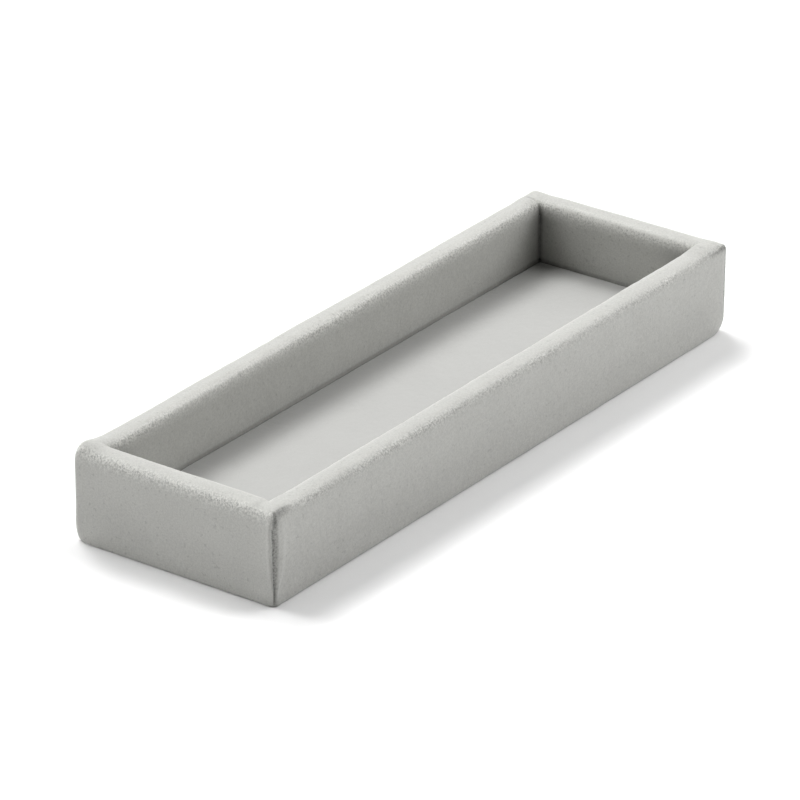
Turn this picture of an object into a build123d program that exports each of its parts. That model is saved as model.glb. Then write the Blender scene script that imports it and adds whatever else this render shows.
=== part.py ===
import os

from build123d import *

os.makedirs("parts", exist_ok=True)

# A long, narrow, open jewelry tray: a frame of four fibreboard rails round a base panel, covered in grey
# velour, with a padded velour floor pushed down into it. All sizes are in millimetres. The length runs
# along X, the width along Y, and the origin is at the middle of the underside.

# The covered tray
tray_length = 240.0
tray_width = 75.0
tray_height = 31.0

# The walls: fibreboard rails with velour on both faces
rail_thickness = 7.0
velour_thickness = 1.0
rim_round = 4.2
rim_round_limit_share = 0.47
upright_corner_round = 2.4
rail_corner_round = 0.4
lower_corner_round = 7.0
foot_round = 0.8
velour_edge_share = 0.9

# The base panel, let into a rebate round the inside of the rails
base_thickness = 3.0
rebate_width = 3.0
base_clearance = 0.15

# The felt on the underside
felt_thickness = 0.7
felt_inset = 2.5
felt_corner_round = 3.0

# The padded floor
pad_velour_thickness = 0.8
pad_board_thickness = 1.5
pad_foam_thickness = 3.5
pad_clearance = 0.25
pad_edge_round = 0.7
pad_turn_in = 9.0
pad_inner_clearance = 0.1

# The seams where two pieces of velour meet
seam_gap = 0.24
seam_drop = 2.6
corner_groove = 0.7
rim_groove = 0.45

# The brads that pin each end rail to the side rails
brad_radius = 0.6
brad_length = 18.0
brad_head_radius = 1.1
brad_head_thickness = 0.6
brad_clearance = 0.03
brad_height_shares = (0.36, 0.72)

# How far a cut runs past the face that it opens
cut_overrun = 5.0

# The walls, worked out
wall_thickness = rail_thickness + 2 * velour_thickness
half_length = tray_length / 2
half_width = tray_width / 2
well_half_length = half_length - wall_thickness
well_half_width = half_width - wall_thickness
rim_radius = min(rim_round, rim_round_limit_share * wall_thickness)
corner_radius = max(upright_corner_round, velour_thickness + rail_corner_round)
foot_radius = min(foot_round, velour_edge_share * velour_thickness)

# The lower corners, worked out: each is rounded by a ball that reaches the three edges that meet there
corner_ball_radius = 2**0.5 * lower_corner_round
corner_ball_x = half_length - lower_corner_round
corner_ball_y = half_width - lower_corner_round
corner_ball_height = felt_thickness + lower_corner_round

# The frame inside the velour, worked out
frame_half_length = half_length - velour_thickness
frame_half_width = half_width - velour_thickness
frame_bottom = felt_thickness + velour_thickness
frame_top = tray_height - velour_thickness
frame_rim_radius = max(rim_radius - velour_thickness, rail_corner_round)
joint_x = frame_half_length - rail_thickness

# The base and the floor, worked out
base_bottom = felt_thickness
base_top = base_bottom + base_thickness
pocket_length = 2 * (well_half_length + velour_thickness + rebate_width)
pocket_width = 2 * (well_half_width + velour_thickness + rebate_width)
pad_length = 2 * (well_half_length - pad_clearance)
pad_width = 2 * (well_half_width - pad_clearance)
pad_inside_length = pad_length - 2 * pad_velour_thickness
pad_inside_width = pad_width - 2 * pad_velour_thickness
pad_filling_length = pad_inside_length - 2 * pad_inner_clearance
pad_filling_width = pad_inside_width - 2 * pad_inner_clearance
pad_edge_radius = min(pad_edge_round, velour_edge_share * pad_velour_thickness)
pad_board_bottom = base_top + pad_velour_thickness
pad_foam_bottom = pad_board_bottom + pad_board_thickness
pad_foam_top = pad_foam_bottom + pad_foam_thickness
floor_height = pad_foam_top + pad_velour_thickness

# The seams, worked out: where they run on the rounded rim and on the rounded upright corners
seam_height = tray_height - seam_drop
seam_shift = seam_gap / 2**0.5
seam_rise = seam_height - (tray_height - rim_radius)
rim_seam_inset = rim_radius - (rim_radius**2 - seam_rise**2) ** 0.5
corner_seam_inset = corner_radius * (1 - 0.5**0.5)


def lower_corner_waste(ball_radius):
    """What is cut off the four lower corners: a block outside and below each ball's centre, less the ball."""
    block = lower_corner_round + cut_overrun
    with BuildPart(Plane.XY.offset(corner_ball_height)) as waste:
        with GridLocations(2 * corner_ball_x + block, 2 * corner_ball_y + block, 2, 2):
            Box(block, block, block, align=(Align.CENTER, Align.CENTER, Align.MAX))
        with GridLocations(2 * corner_ball_x, 2 * corner_ball_y, 2, 2):
            Sphere(ball_radius, mode=Mode.SUBTRACT)
    return waste.part


# The frame: four rails, rounded as one ring and parted at their butt joints
with BuildPart() as frame_ring:
    with BuildSketch(Plane.XY.offset(frame_bottom)):
        Rectangle(2 * frame_half_length, 2 * frame_half_width)
        Rectangle(2 * joint_x, 2 * (frame_half_width - rail_thickness), mode=Mode.SUBTRACT)
    extrude(amount=frame_top - frame_bottom)
    fillet(frame_ring.faces().sort_by(Axis.Z)[-1].edges(), frame_rim_radius)
    with BuildSketch(Plane.XY.offset(frame_bottom)):
        RectangleRounded(2 * frame_half_length, 2 * frame_half_width, corner_radius - velour_thickness)
    extrude(amount=frame_top - frame_bottom, mode=Mode.INTERSECT)
    add(lower_corner_waste(corner_ball_radius - velour_thickness), mode=Mode.SUBTRACT)

# The rebate that the base panel lies in, open underneath
with BuildPart() as base_pocket:
    with BuildSketch(Plane.XY.offset(base_top)):
        Rectangle(pocket_length, pocket_width)
    extrude(amount=-base_top - cut_overrun)


def brads(clearance):
    """Eight round nails along X, two through each corner joint, with their heads at the outer faces of the end
    rails. The same nails, larger by a clearance, are their holes."""
    brad_y = frame_half_width - rail_thickness / 2
    with BuildPart() as nails:
        for share in brad_height_shares:
            brad_z = frame_bottom + share * (frame_top - frame_bottom)
            for end in (-1, 1):
                face = Plane(origin=(end * frame_half_length, 0, brad_z), x_dir=(0, 1, 0), z_dir=(-end, 0, 0))
                for radius, length in ((brad_radius, brad_length), (brad_head_radius, brad_head_thickness)):
                    with BuildSketch(face):
                        with GridLocations(2 * brad_y, 0, 2, 1):
                            Circle(radius + clearance)
                    extrude(amount=length + clearance)
    return nails.part


with BuildPart() as corner_brads:
    add(brads(0))
corner_brads.part.label = "corner_brads"
export_step(corner_brads.part, "parts/corner_brads.step")

brad_holes = brads(brad_clearance)

with BuildPart() as back_rail:
    add(frame_ring.part)
    with BuildSketch(Plane.XY):
        with Locations((0, half_width / 2)):
            Rectangle(2 * joint_x, half_width)
    extrude(amount=tray_height, mode=Mode.INTERSECT)
    add(base_pocket.part, mode=Mode.SUBTRACT)
    add(brad_holes, mode=Mode.SUBTRACT)
back_rail.part.label = "back_rail"
export_step(back_rail.part, "parts/back_rail.step")

with BuildPart() as front_rail:
    mirror(back_rail.part, about=Plane.XZ)
front_rail.part.label = "front_rail"
export_step(front_rail.part, "parts/front_rail.step")

with BuildPart() as right_end_rail:
    add(frame_ring.part)
    with BuildSketch(Plane.XY):
        with Locations(((joint_x + half_length) / 2, 0)):
            Rectangle(half_length - joint_x, tray_width)
    extrude(amount=tray_height, mode=Mode.INTERSECT)
    add(base_pocket.part, mode=Mode.SUBTRACT)
    add(brad_holes, mode=Mode.SUBTRACT)
right_end_rail.part.label = "right_end_rail"
export_step(right_end_rail.part, "parts/right_end_rail.step")

with BuildPart() as left_end_rail:
    mirror(right_end_rail.part, about=Plane.YZ)
left_end_rail.part.label = "left_end_rail"
export_step(left_end_rail.part, "parts/left_end_rail.step")


# The base panel lies in the rebate
with BuildPart() as base_panel:
    with BuildSketch(Plane.XY.offset(base_bottom)):
        Rectangle(pocket_length - 2 * base_clearance, pocket_width - 2 * base_clearance)
    extrude(amount=base_thickness)
base_panel.part.label = "base_panel"
export_step(base_panel.part, "parts/base_panel.step")


# The velour round the frame, before it is parted: outer face, rim, inner face down to the base panel, and a
# turned-in edge under the rails
with BuildPart() as skin:
    with BuildSketch(Plane.XY.offset(felt_thickness)):
        Rectangle(tray_length, tray_width)
        Rectangle(2 * well_half_length, 2 * well_half_width, mode=Mode.SUBTRACT)
    extrude(amount=tray_height - felt_thickness)
    fillet(skin.faces().sort_by(Axis.Z)[-1].edges(), rim_radius)
    fillet(skin.faces().sort_by(Axis.Z)[0].outer_wire().edges(), foot_radius)
    with BuildSketch(Plane.XY.offset(felt_thickness)):
        RectangleRounded(tray_length, tray_width, corner_radius)
    extrude(amount=tray_height - felt_thickness, mode=Mode.INTERSECT)
    add(lower_corner_waste(corner_ball_radius), mode=Mode.SUBTRACT)
    add(frame_ring.part, mode=Mode.SUBTRACT)
    add(base_pocket.part, mode=Mode.SUBTRACT)

# The seams sink in round grooves, down each upright corner and along the outer side of each corner's rim
with BuildPart() as seam_grooves:
    with BuildSketch(Plane.XY):
        with GridLocations(2 * (half_length - corner_seam_inset), 2 * (half_width - corner_seam_inset), 2, 2):
            Circle(corner_groove)
    extrude(amount=seam_height)
    for end in (-1, 1):
        with BuildSketch(Plane.YZ.offset(end * half_length)):
            with Locations((0, seam_height)):
                with GridLocations(2 * (half_width - rim_seam_inset), 0, 2, 1):
                    Circle(rim_groove)
        extrude(amount=-end * wall_thickness)

# A long wall's velour covers the whole outer face, as far as the upright corners, but its rim and its inner
# face stop at the end walls
with BuildPart() as back_share_of_skin:
    with BuildSketch(Plane.XY):
        with BuildLine():
            Polyline(
                (half_length - seam_shift, half_width),
                (seam_shift - half_length, half_width),
                (seam_shift - well_half_length, well_half_width),
                (well_half_length - seam_shift, well_half_width),
                close=True,
            )
        make_face()
    extrude(amount=seam_height - seam_gap / 2)
    with BuildSketch(Plane.XY):
        with Locations((0, half_width - wall_thickness / 2)):
            Rectangle(2 * well_half_length - seam_gap, wall_thickness)
    extrude(amount=tray_height)

with BuildPart() as back_velour:
    add(skin.part)
    add(back_share_of_skin.part, mode=Mode.INTERSECT)
    add(seam_grooves.part, mode=Mode.SUBTRACT)
back_velour.part.label = "back_velour"
export_step(back_velour.part, "parts/back_velour.step")

with BuildPart() as front_velour:
    mirror(back_velour.part, about=Plane.XZ)
front_velour.part.label = "front_velour"
export_step(front_velour.part, "parts/front_velour.step")

# An end wall's velour covers its own wall, and the tops of both corners
with BuildPart() as right_share_of_skin:
    with BuildSketch(Plane.XY):
        with BuildLine():
            Polyline(
                (half_length, seam_shift - half_width),
                (half_length, half_width - seam_shift),
                (well_half_length, well_half_width - seam_shift),
                (well_half_length, seam_shift - well_half_width),
                close=True,
            )
        make_face()
    extrude(amount=tray_height)
    with BuildSketch(Plane.XY.offset(seam_height + seam_gap / 2)):
        with Locations((half_length - (wall_thickness - seam_gap / 2) / 2, 0)):
            Rectangle(wall_thickness - seam_gap / 2, tray_width)
    extrude(amount=seam_drop)

with BuildPart() as right_end_velour:
    add(skin.part)
    add(right_share_of_skin.part, mode=Mode.INTERSECT)
    add(seam_grooves.part, mode=Mode.SUBTRACT)
right_end_velour.part.label = "right_end_velour"
export_step(right_end_velour.part, "parts/right_end_velour.step")

with BuildPart() as left_end_velour:
    mirror(right_end_velour.part, about=Plane.YZ)
left_end_velour.part.label = "left_end_velour"
export_step(left_end_velour.part, "parts/left_end_velour.step")


# The felt is glued under the base, over the turned-in edges of the velour
with BuildPart() as underside_felt:
    with BuildSketch(Plane.XY):
        RectangleRounded(tray_length - 2 * felt_inset, tray_width - 2 * felt_inset, felt_corner_round)
    extrude(amount=felt_thickness)
underside_felt.part.label = "underside_felt"
export_step(underside_felt.part, "parts/underside_felt.step")


# The floor: velour drawn over foam and board, and turned in underneath
with BuildPart() as floor_pad_velour:
    with BuildSketch(Plane.XY.offset(base_top)):
        Rectangle(pad_length, pad_width)
    extrude(amount=floor_height - base_top)
    fillet(floor_pad_velour.faces().sort_by(Axis.Z)[-1].edges(), pad_edge_radius)
    with BuildSketch(Plane.XY.offset(pad_board_bottom)):
        Rectangle(pad_inside_length, pad_inside_width)
    extrude(amount=pad_foam_top - pad_board_bottom, mode=Mode.SUBTRACT)
    with BuildSketch(Plane.XY.offset(base_top)):
        Rectangle(pad_length - 2 * pad_turn_in, pad_width - 2 * pad_turn_in)
    extrude(amount=pad_velour_thickness, mode=Mode.SUBTRACT)
floor_pad_velour.part.label = "floor_pad_velour"
export_step(floor_pad_velour.part, "parts/floor_pad_velour.step")

with BuildPart() as floor_pad_board:
    with BuildSketch(Plane.XY.offset(pad_board_bottom)):
        Rectangle(pad_filling_length, pad_filling_width)
    extrude(amount=pad_board_thickness)
floor_pad_board.part.label = "floor_pad_board"
export_step(floor_pad_board.part, "parts/floor_pad_board.step")

with BuildPart() as floor_pad_foam:
    with BuildSketch(Plane.XY.offset(pad_foam_bottom)):
        Rectangle(pad_filling_length, pad_filling_width)
    extrude(amount=pad_foam_thickness)
floor_pad_foam.part.label = "floor_pad_foam"
export_step(floor_pad_foam.part, "parts/floor_pad_foam.step")

print("Wall", wall_thickness, "floor height", floor_height, "rim radius", rim_radius)
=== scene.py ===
"""A velour jewelry tray on a white studio floor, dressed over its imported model."""

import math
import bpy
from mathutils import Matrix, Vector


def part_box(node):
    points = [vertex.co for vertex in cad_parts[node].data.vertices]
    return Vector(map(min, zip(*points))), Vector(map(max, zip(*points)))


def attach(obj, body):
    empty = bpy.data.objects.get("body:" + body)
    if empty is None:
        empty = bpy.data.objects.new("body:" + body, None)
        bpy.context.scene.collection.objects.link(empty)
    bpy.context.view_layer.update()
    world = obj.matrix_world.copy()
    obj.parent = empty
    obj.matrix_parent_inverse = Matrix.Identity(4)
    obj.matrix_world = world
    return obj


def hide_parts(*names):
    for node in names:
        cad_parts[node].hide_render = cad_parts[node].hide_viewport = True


bl_info = {
    "name": "Velour Jewelry Tray",
    "version": (1, 0, 0),
    "blender": (4, 5, 0),
    "location": "3D View > Sidebar > Tray",
    "description": "Covers a long, narrow tray in short grey velour and sets it on a white studio floor",
    "category": "Object",
}

import bpy
import numpy as np
from bpy.props import FloatProperty, FloatVectorProperty, PointerProperty
from mathutils import Euler, Matrix, Vector

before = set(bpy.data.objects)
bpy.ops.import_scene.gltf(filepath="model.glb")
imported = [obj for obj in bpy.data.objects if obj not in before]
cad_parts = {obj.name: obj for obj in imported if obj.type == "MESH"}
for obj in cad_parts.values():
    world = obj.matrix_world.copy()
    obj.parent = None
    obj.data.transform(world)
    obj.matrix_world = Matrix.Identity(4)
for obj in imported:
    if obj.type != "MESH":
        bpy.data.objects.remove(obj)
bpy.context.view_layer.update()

MM = 0.001

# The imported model's own sizes, in metres
half_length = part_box("right_end_velour")[1].x
half_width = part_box("back_velour")[1].y
tray_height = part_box("back_velour")[1].z
hem_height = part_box("back_velour")[0].z
wall_thickness = half_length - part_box("right_end_velour")[0].x
well_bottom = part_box("base_panel")[1].z
pad_low, pad_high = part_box("floor_pad_velour")
felt_low, felt_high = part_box("underside_felt")
felt_inset = half_length - felt_high.x

# The pitch of the modelled pile, and how many of its steps one step of the cloth's plain back takes
PILE_PITCH = 0.42 * MM
BACK_STEP = 4

# Where the pile opens over the bend of the rim, as the tilt of the surface
BEND_TILT = math.radians(54.0)
BEND_SPREAD = math.radians(19.0)

# How strongly the grains stand out of the opened pile
OPEN_GRAIN = 0.38

# How many times as high again the tufts of the opened pile stand
OPEN_TUFTS = 2.2

# A highlight painted into the pile's colour over each bend, where it catches the light: how much lighter it
# is there, at which tilt of the surface and how widely, and how plainly on the outer and the inner bend of
# each
# rim: near long, far long, near end and far end
BEND_PAINTED_HIGHLIGHT = 0.35
BEND_HIGHLIGHT_TILT = math.radians(47.0)
BEND_HIGHLIGHT_SPREAD = math.radians(24.0)
OUTER_BEND_HIGHLIGHTS = (0.35, 0.2, 1.1, 0.3)
INNER_BEND_HIGHLIGHTS = (0.35, 1.1, 1.1, 2.0)

# The most that the pile's own colour is lightened by all of its shading
BRIGHTEST = 1.6

# How much light is painted into the pile at the foot of the outer faces, and between which heights that ends
FOOT_PAINTED_LIGHT = 0.1
FOOT_HEIGHTS = (2.0 * MM, 10.0 * MM)

# How much shade is painted onto each rim's crest to dull it, in the same order, and the tilt by which that
# ends
CREST_PAINTED_SHADES = (0.05, 0.0, 0.04, 0.05)
CREST_TILT = math.radians(35.0)

# How dark the shade painted into the pile is down in the seams, the crease round the pad and the inner
# corners
SEAM_SHADE = 0.4
BUTT_SHADE = 0.5
BUTT_WIDTH = 0.5 * MM
CREASE_SHADE = 0.3
CREASE_WIDTH = 0.55 * MM
CORNER_SHADE = 0.45
CORNER_WIDTH = 1.0 * MM
# A broad shadow painted round the inner corners, and how widely
CORNER_PAINTED_SHADOW = 0.4
CORNER_SHADOW_WIDTH = 8.0 * MM

# How much shadow of the walls is painted into the pad's pile along its long edges, and over what distance
PAD_EDGE_PAINTED_SHADOW = 0.2
PAD_EDGE_SHADOW_WIDTHS = (2.0 * MM, 9.0 * MM)

# How strongly the pile's grains and its broad patches vary, and the height of its fuzz, on the walls and pad
WALL_PILE = (0.075, 0.02, 0.06 * MM)
PAD_PILE = (0.02, 0.012, 0.04 * MM)

# Past this angle an edge is a cut edge of the cloth, and is shaded sharp
SHARP_ANGLE = math.radians(70.0)

# How far up the outer face the droop of its foot is taken up
DROOP_FADE = 8.0 * MM

# The four corners, as the signs of X and Y, in the order in which the outline passes them
QUARTERS = ((1, 1), (1, -1), (-1, -1), (-1, 1))
FRONT_CORNER = (-1, -1)

# Each corner's upright seam: its share of the seam's depth, of the shade painted into it and of its width,
# and how far it lies towards the long wall
SEAM_LOOKS = {
    (1, 1): (0.4, 0.7, 0.5, 0.0),
    (1, -1): (0.3, 1.0, 0.6, 0.5 * MM),
    (-1, -1): (1.0, 1.0, 1.0, 0.15 * MM),
    (-1, 1): (0.2, 0.3, 0.6, 0.0),
}

# Between which heights a seam widens from its foot upwards, and the share of its width at the foot
SEAM_TAPER = (3.0 * MM, 15.0 * MM)
SEAM_FOOT_WIDTH = 0.3

# How far below a seam's top its sunk floor starts to come up, and the share of the depth left at the top
SEAM_RISE = 9.0 * MM
SEAM_TOP_SHARE = 0.35

# How plainly the butt seam across each corner's rim shows, and how much of the swell each corner has
BUTT_SHARES = {(1, 1): 0.8, (1, -1): 0.3, (-1, -1): 0.0, (-1, 1): 0.1}
SWELL_SHARES = {(1, 1): 0.2, (1, -1): 0.2, (-1, -1): 0.0, (-1, 1): 1.0}
SHARP_CORNER = (1, -1)

# Where the folded velour swells on a corner: how far in from its two faces, and how widely
SWELL_INSET = 3.5 * MM
SWELL_WIDTH = 4.5 * MM

# How widely the sharp corner's top is filled out, and how far down that is taken up
FILL_WIDTH = 3.5 * MM
FILL_DEPTH = 16.0 * MM

# How far down from the rim its sag is taken up, and the share of it that the near long rim keeps on the front
# corner's block
SAG_DEPTH = 9.0 * MM
SAG_KEPT = 0.5

# Where things begin and end beside the line of the inner faces: the corner block along and across the tray,
# and the long rims' sag across and along it
BLOCK_ALONG = (-0.3 * MM, 0.5 * MM)
BLOCK_ACROSS = (-4.0 * MM, 0.5 * MM)
SAG_ACROSS = (-0.5 * MM, 2.0 * MM)
SAG_ALONG = (-7.0 * MM, 1.0 * MM)

# The butt seams begin across the tray beside that line, lose a share of their depth on the rim's outer half,
# and run a little way down the inner face
BUTT_ACROSS = (-1.0 * MM, 0.4 * MM)
BUTT_LOSS = 0.7
BUTT_LOST_BY = 2.0 * MM
BUTT_RUNS_DOWN = 1.0 * MM

# How far down from the rim the stretch of its roundings is taken up, and how widely it changes at a corner
STRETCH_DEPTH = 15.0 * MM
STRETCH_BLEND = 3.0 * MM

# Across a seam, in distances from it with the end wall's side negative: where its sunk floor and the shade
# painted into its pile begin and end, each as the ends of two slopes, where and by what share that shade then
# fades, and where the cloth stands up beside it
SINK_SLOPES = (-1.1 * MM, -0.5 * MM, 0.4 * MM, 2.1 * MM)
DARK_SLOPES = (-0.95 * MM, -0.6 * MM, 0.9 * MM, 1.9 * MM)
DARK_CORE = (0.1 * MM, 0.8 * MM)
CORE_FADE = 0.4
LIP_AT, LIP_WIDTH = -1.75 * MM, 0.5 * MM
ROLL_AT, ROLL_WIDTH = 3.4 * MM, 1.1 * MM

# How far from a corner's round its seam is looked for
SEAM_REACH = 8.0 * MM

# Grid points closer together than about this are made one
MERGE_DISTANCE = 0.1 * MM

# How far below the pad's top the inner faces are still modelled finely
BEHIND_PAD = 0.6 * MM

# Over what distance the pile fades in from the foot, and out towards the hidden end of the inner face
PILE_FADE = 2.0 * MM

# Layers of noise, each its strength, its size and its seed. Waves and the seams' wander have their sizes in
# millimetres, and tufts theirs in tuft sizes
WALL_WAVES = ((0.75, 24.0, 1), (0.25, 11.0, 2))
SEAM_WANDER = ((0.12 * MM, 3.0, 14), (0.08 * MM, 0.9, 15))
WALL_TUFTS = ((0.55, 1.0, 3), (0.45, 2.1, 4))
PAD_WAVES = ((0.12 * MM, 26.0, 6), (0.03 * MM, 8.0, 7))
PAD_TUFTS = ((0.6, 1.0, 8), (0.4, 2.0, 9))
RIPPLE_SIZE = 5.5 * MM

# How widely the pile opens on average, how much that varies, and over what distance
OPEN_MEAN, OPEN_VARIES, OPEN_PATCH = 0.8, 0.35, 9.0 * MM

# The same for the shade painted into the creases, which varies less on the walls than on the pad
GRAIN_MEAN, WALL_GRAIN, PAD_GRAIN, GRAIN_SIZE = 0.75, 0.12, 0.25, 1.4 * MM

# The shade painted into the pad's corners beside the walls' inner corners: its share, and how widely
PAD_CORNER_SHARE, PAD_CORNER_WIDTH = 0.6, 2.0 * MM

# The powers of the place along and across the pad by which its crown falls off
CROWN_POWERS = (8, 4)

# Lengths and areas are held above these where something is divided by them
NO_LENGTH, NO_AREA = 1e-12, 1e-20

# The range in which most of a noise node's values lie
NOISE_LOW, NOISE_HIGH = 0.3, 0.7


def a_length(name, description, default):
    """A length that a user can change, given here in millimetres."""
    kind = {"subtype": "DISTANCE", "unit": "LENGTH", "precision": 5}
    return FloatProperty(name=name, description=description, default=default * MM, min=0.0, **kind)


def a_place(name, description, default):
    """A coordinate that a user can change, given here in millimetres."""
    return FloatProperty(name=name, description=description, default=default * MM, unit="LENGTH")


def a_share(name, description, default, highest=1.0):
    """A plain number that a user can change."""
    return FloatProperty(name=name, description=description, default=default, min=0.0, max=highest)


def an_angle(name, description, degrees):
    """An angle that a user can change, given here in degrees."""
    return FloatProperty(
        name=name, description=description, default=math.radians(degrees), subtype="ANGLE", unit="ROTATION"
    )


def a_color(name, description, default):
    """A linear colour that a user can change."""
    return FloatVectorProperty(
        name=name, description=description, default=default, size=3, min=0.0, max=1.0, subtype="COLOR"
    )


class TrayCoverSettings(bpy.types.PropertyGroup):
    """Sizes of the velour round the four walls."""

    rim_round: a_length("Rim round", "Width of the two long roundings of the rim", 4.2)
    rim_depth: a_length("Rim depth", "Height of those roundings", 5.3)
    rim_power: a_share("Rim fullness", "Two for a round rim, and more for a fuller one", 2.45, 6.0)
    corner_round: a_length("Corner round", "Radius of the upright corners", 2.4)
    foot_round: a_length("Foot round", "Radius where the velour turns under the wall", 0.5)
    foot_drop: a_length("Foot drop", "How far the velour hangs down past the felt's edge", 0.68)
    hem_turn: a_length("Hem turn", "Width of velour glued under the wall", 5.0)
    cloth: a_length("Cloth", "Thickness of the velour, pile included", 0.9)
    sharp_power: a_share(
        "Sharp corner fullness", "Two for a round upright corner, and more for a square", 6.0, 12.0
    )
    corner_fill: a_share("Corner fill", "How squarely the sharp corner's top is filled out", 0.65)
    corner_swell: a_length("Corner swell", "Rise of the folded velour on the near left corner", 1.25)
    low_corner_round: a_length("Low corner round", "Radius of three corners at the foot", 6.5)
    front_corner_round: a_length("Front corner round", "Radius of the front corner at the foot", 3.0)
    seam_drop: a_length("Seam drop", "Height of three corners' seams below the rim", 2.0)
    front_seam_drop: a_length("Front seam drop", "Height of the front corner's seam below the rim", 0.9)
    seam_depth: a_length("Seam depth", "How deep the two velours sink where they meet", 0.6)
    seam_lip: a_length("Seam lip", "How far the end wall's velour stands up beside the seam", 0.2)
    seam_roll: a_length("Seam roll", "How far the long wall's velour rolls beside the seam", 0.15)
    butt_depth: a_length("Butt depth", "Depth of the butt seams across the rims", 0.2)
    block_drop: a_length("Block drop", "How much lower the corner blocks are than the long rims", 0.25)
    end_stretch: a_length("End stretch", "How much further down the end rims' roundings run", 1.5)
    back_stretch: a_length("Back stretch", "How much further down the far long rim's roundings run", 1.0)
    front_stretch: a_length("Front stretch", "How much further down the near long rim's roundings run", 0.2)
    front_sag: a_length("Front sag", "How much lower the near long rim is than the corners", 0.85)
    back_sag: a_length("Back sag", "How much lower the far long rim is than the corners", 0.3)
    wave_height: a_length("Wave height", "Unevenness of the glued velour over a few centimetres", 0.13)
    ripple_height: a_length("Ripple height", "Unevenness of the glued velour over a few millimetres", 0.035)
    tuft_size: a_length("Tuft size", "Width of the tufts that the pile gathers into", 1.15)
    tuft_height: a_length("Tuft height", "Height of those tufts", 0.022)


class TrayPadSettings(bpy.types.PropertyGroup):
    """Sizes of the padded floor."""

    edge_round: a_length("Edge round", "Radius of the pad's upper edge", 1.1)
    crown: a_length("Crown", "Rise of the foam between the pad's edges", 0.35)
    tuft_height: a_length("Tuft height", "Height of the pressed pile's tufts", 0.03)


class TrayFinishSettings(bpy.types.PropertyGroup):
    """Colours of the tray's materials."""

    velour: a_color("Velour", "Grey of the velour's pile", (0.52, 0.52, 0.494))
    floor_velour: a_color("Floor velour", "Grey of the pad's pressed pile", (0.425, 0.425, 0.412))
    felt: a_color("Felt", "Grey of the felt underside", (0.42, 0.42, 0.40))
    fibreboard: a_color("Fibreboard", "Brown of the rails and the base panel", (0.42, 0.29, 0.17))
    board: a_color("Board", "Grey of the pad's board", (0.40, 0.38, 0.34))
    foam: a_color("Foam", "White of the pad's foam", (0.78, 0.76, 0.70))
    steel: a_color("Steel", "Grey of the brads", (0.55, 0.55, 0.56))
    sheen: a_share("Sheen", "Strength of the pile's glow at low angles", 0.45)


SENSOR_WIDTH = 36.0
CLIP_RANGE = (0.05, 100.0)


class TrayStageSettings(bpy.types.PropertyGroup):
    """The camera, the floor and the lamps."""

    camera_azimuth: an_angle("Camera azimuth", "Direction of the camera round the tray", -54.389)
    camera_elevation: an_angle("Camera elevation", "Height of the camera over the floor", 25.581)
    camera_roll: an_angle("Camera roll", "Tilt of the camera about its own axis", 0.393)
    camera_distance: a_length("Camera distance", "Distance from the camera to the point it looks at", 1933.1)
    camera_lens: FloatProperty(
        name="Lens", description="Focal length on a 36 mm sensor", default=279.02, unit="CAMERA"
    )
    target_x: a_place("Target X", "Point the camera looks at", 16.112)
    target_y: a_place("Target Y", "Point the camera looks at", 15.504)
    floor: a_color("Floor", "White of the floor for the light it sends back", (0.90, 0.90, 0.90))
    floor_seen: a_color("Floor seen", "White of the floor as the camera sees it", (0.952, 0.952, 0.952))
    floor_radius: a_length("Floor radius", "Radius of the round floor", 12000.0)
    sky: a_share("Sky", "Strength of the even light from all round", 0.03, 5.0)


def smooth_step(low, high, value):
    """Zero up to low, one from high, and three squares less two cubes of the share between them."""
    share = np.clip((value - low) / (high - low), 0.0, 1.0)
    return share * share * (3.0 - 2.0 * share)


def lattice_noise(points, size, seed):
    """Even noise from about minus one to one: random values on a turned cubic lattice of that size, blended
    within each cell by the smooth step of the place between its eight corners. Blending narrows their range,
    so the result is widened again."""
    count, widening = 32, 1.5
    random = np.random.default_rng(seed)
    table = random.uniform(-1.0, 1.0, (count, count, count))
    turn = np.array(Euler((0.7 + seed, 1.1 * seed, 0.4 + 0.6 * seed)).to_matrix())
    place = points @ turn / size + count * random.uniform(0.0, 1.0, 3)
    cell = np.floor(place).astype(int)
    ease = smooth_step(0.0, 1.0, place - cell)
    total = np.zeros(len(points))
    for corner in np.ndindex(2, 2, 2):
        weight = np.prod(np.where(corner, ease, 1.0 - ease), axis=1)
        i, j, k = ((cell + corner) % count).T
        total += weight * table[i, j, k]
    return widening * total


def layered_noise(points, layers, unit=MM):
    """The sum of noises, each given as its strength, its size in the unit and its seed."""
    return sum(strength * lattice_noise(points, size * unit, seed) for strength, size, seed in layers)


def beside(line, slope, value):
    """A smooth step between two distances from a line."""
    return smooth_step(line + slope[0], line + slope[1], value)


def fuller(angle, power):
    """The cosine and sine of an angle on a curve fuller than the circle: each is divided by the power's root
    of the sum of both raised to that power."""
    across, up = np.abs(np.cos(angle)), np.abs(np.sin(angle))
    size = (across**power + up**power) ** (1.0 / power)
    return across / size, up / size


def spaced(lengths, counts):
    """Distances from zero through stretches of those lengths, each divided into its count of even steps."""
    ends = np.concatenate([[0.0], np.cumsum(lengths)])
    pieces = [np.linspace(a, b, n, endpoint=False) for a, b, n in zip(ends[:-1], ends[1:], counts)]
    return np.concatenate(pieces + [ends[-1:]])


def steps(length, pitch=PILE_PITCH):
    """The count of even steps of about that pitch, as a whole number of the cloth's back steps."""
    return BACK_STEP * max(1, round(length / pitch / BACK_STEP))


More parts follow.
